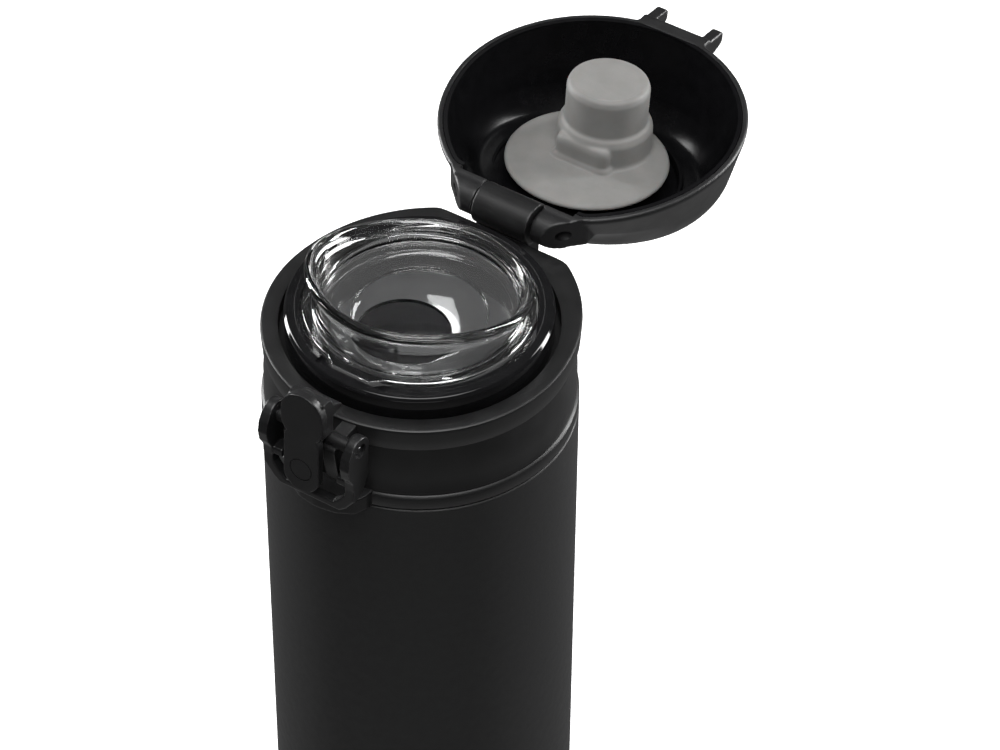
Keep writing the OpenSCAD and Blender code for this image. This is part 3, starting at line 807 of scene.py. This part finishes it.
def latch_button():
    """Push button: round-ended plate in two steps, with a finger mark, hook and pivot stem."""
    lean = Matrix.Rotation(math.radians(-3.5), 4, "X")
    tip = Matrix.Translation((0, -37.6, -0.5)) @ lean @ Matrix.Translation((0, 37.6, 0))
    hook = rounded([
        (-41, 1.6), (-41, 10.8), (-38.6, 10.8, 0.5), (-37.6, 9.6, 0.5), (-37.2, 8.7, 0.3), (-34.3, 7, 0.3),
        (-34.3, 6, 0.2), (-37.2, 6, 0.5), (-37.2, 1.6),
    ], 0)
    stem = rounded([
        (-41, -3.6), (-37.4, -3.2, 1), (-36, -1.8, 1), (-36, 0.8, 1), (-37.4, 2.4, 1), (-41, 2.4),
    ], 0)
    front, back = -42.45, -40.6
    parts = [
        plate(capsule(4.2, -12.8, 4), front, back, "Y"), plate(capsule(5, 0.2, 12.3), front, back, "Y"),
        plate(hook, -4.2, 4.2), plate(stem, -2.6, 1.2),
    ]
    button = build("push_button", [placed(part, tip) for part in parts], CAP)
    fuse(button, 0.17, 3)
    latch = LATCH_IN_CAP
    cut(button, [rod(1.08, -6, 6, latch.y, latch.z, 0)], CAP)
    lie = tip @ Matrix.Translation((0, -42.5, -7.1)) @ Matrix.Rotation(math.pi / 2, 4, "X")
    mark = turned([(2.45, -0.3), (2.65, -0.3), (2.65, 0.3), (2.45, 0.3)], count=96)
    cut(button, [placed(mark, lie)], CAP)
    finish(button, "button", "button_plastic", BUTTON_PP, "latch_button")


def lock_ring():
    """Swing-up lock ring: two arms on the latch pin, joined below the button, with lugs for the horns."""
    latch = LATCH_IN_CAP
    arm = rounded([
        (-40, 1.6, 0.8), (-41.5, -0.6, 1.5), (-42, -3, 1.5), (-41.6, -5.6, 1.5), (-40.5, -7.6, 1.5),
        (-40.3, -10, 1), (-40.3, -13, 0.2), (-38.3, -13, 0.2), (-36.4, -11.2, 1.5), (-35, -8.5, 2),
        (-34.9, -4, 2), (-34.8, -0.5, 0.8),
    ], 0)
    lug = rounded([(-40.1, -9.9), (-40.1, -7.9), (-36.8, -7.9), (-36.8, -9.9)], 0.4)
    parts = both_sides(plate(arm, 8.8, 11), rod(3.1, 8.8, 11, latch.y, latch.z), plate(lug, 6.6, 9.3))
    bow_out = mirrored([(11, -10.5, 0), (10.8, -13, 1), (8.8, -15.8, 1), (7.2, -17.1, 1)])
    bow_in = mirrored([(-8.8, -10.5, 0), (-8.6, -12, 1), (-7, -14.2, 1), (-5.6, -15.4, 1)])
    parts.append(plate(rounded(bow_out + bow_in, 0.5), -40.3, -38.3, "Y"))
    ring = build("swing_lock_ring", parts, CAP)
    fuse(ring, 0.18, 4)
    cut(ring, [rod(1.06, -12, 12, latch.y, latch.z, 0)], CAP)
    cut(ring, [rod(1.7, 10.45, 12, latch.y, latch.z, 0), rod(1.7, -12, -10.45, latch.y, latch.z, 0)], CAP)
    finish(ring, "ring", "ring_plastic", RING_PP, "lock_ring")


bottle()
collar()
spout_seat()
spout()
hinge_and_latch_metal()
lid()
liner()
stopper()
latch_button()
lock_ring()


# ---- floor, lights and camera -----------------------------------------------------------------

def ground():
    """Pale floor that leaves no tint on the flask."""
    bm = bmesh.new()
    bmesh.ops.create_grid(bm, x_segments=8, y_segments=8, size=4)
    mesh = bpy.data.meshes.new("floor")
    bm.to_mesh(mesh)
    bm.free()
    floor = bpy.data.objects.new("floor", mesh)
    bpy.context.scene.collection.objects.link(floor)
    pale = bpy.data.materials.new("pale_floor")
    pale.use_nodes = True
    shader = pale.node_tree.nodes["Principled BSDF"]
    shader.inputs["Base Color"].default_value = (0.9, 0.9, 0.9, 1)
    shader.inputs["Roughness"].default_value = 0.9
    shader.inputs["Emission Color"].default_value = (1, 1, 1, 1)
    shader.inputs["Emission Strength"].default_value = 0.6
    floor.data.materials.append(pale)
    floor.visible_glossy = False
    floor.visible_diffuse = False


def sky():
    """Grey surroundings: bright low down, dark at eye height, and a little lighter overhead."""
    world = bpy.data.worlds.new("world")
    bpy.context.scene.world = world
    world.use_nodes = True
    nodes, links = world.node_tree.nodes, world.node_tree.links
    place = nodes.new("ShaderNodeTexCoord")
    parts = nodes.new("ShaderNodeSeparateXYZ")
    ramp = nodes.new("ShaderNodeValToRGB")
    height = nodes.new("ShaderNodeMapRange")
    height.inputs["From Min"].default_value = -1
    links.new(place.outputs["Generated"], parts.inputs[0])
    links.new(parts.outputs["Z"], height.inputs["Value"])
    links.new(height.outputs["Result"], ramp.inputs["Fac"])
    stops = ramp.color_ramp.elements
    stops[0].position, stops[0].color = 0.0, (0.5, 0.5, 0.5, 1)
    stops[1].position, stops[1].color = 1.0, (0.2, 0.2, 0.2, 1)
    for at, tone in ((0.15, 0.15), (0.4, 0.035), (0.5, 0.03), (0.7, 0.05)):
        stops.new(at).color = (tone, tone, tone, 1)
    links.new(ramp.outputs["Color"], nodes["Background"].inputs["Color"])
    nodes["Background"].inputs["Strength"].default_value = 1


def softbox(name, place, aim, width, height, power):
    """Rectangular light aimed at a point, in metres and watts."""
    data = bpy.data.lights.new(name, "AREA")
    data.shape = "RECTANGLE"
    data.size = width
    data.size_y = height
    data.energy = power
    lamp = bpy.data.objects.new(name, data)
    bpy.context.scene.collection.objects.link(lamp)
    lamp.location = place
    lamp.rotation_euler = (Vector(aim) - Vector(place)).to_track_quat("-Z", "Y").to_euler()


def studio():
    bpy.context.scene.view_settings.view_transform = "Standard"
    ground()
    sky()
    collar_top = TOP * MM
    softbox("top_box", (0.2, -0.3, 1.25), (0, 0.02, 0.2), 0.9, 0.9, 13.5)
    softbox("front_box", (0.62, -0.98, 0.45), (0, 0, 0.12), 0.8, 0.25, 1)
    softbox("window", (-0.303, 0.478, collar_top + 0.524), (0.003, 0.010, collar_top), 0.022, 0.036, 0.03)
    softbox("left_strip", (-0.9, 0, 0.35), (0, 0, 0.15), 0.2, 1.0, 13)
    softbox("right_strip", (0.55, 0.75, 0.35), (0, 0, 0.15), 0.2, 1.0, 13)


def camera():
    """Camera placed by its height over the collar, and turned by azimuth, elevation and roll."""
    data = bpy.data.cameras.new("camera")
    data.sensor_width = 36
    data.lens = 149.1
    cam = bpy.data.objects.new("camera", data)
    bpy.context.scene.collection.objects.link(cam)
    bpy.context.scene.camera = cam
    azimuth, elevation, roll = math.radians(32.5), math.radians(44.13), math.radians(-0.5)
    level = Vector((-math.sin(azimuth) * math.cos(elevation), math.cos(azimuth) * math.cos(elevation), 0))
    ahead = level - Vector((0, 0, math.sin(elevation)))
    across = Vector((math.cos(azimuth), math.sin(azimuth), 0))
    down = ahead.cross(across)
    right = math.cos(roll) * across + math.sin(roll) * down
    fall = math.cos(roll) * down - math.sin(roll) * across
    turn = Matrix((right, -fall, -ahead)).transposed()
    cam.matrix_world = Matrix.Translation((0.344, -0.5093, TOP * MM + 0.5804)) @ turn.to_4x4()


studio()
camera()
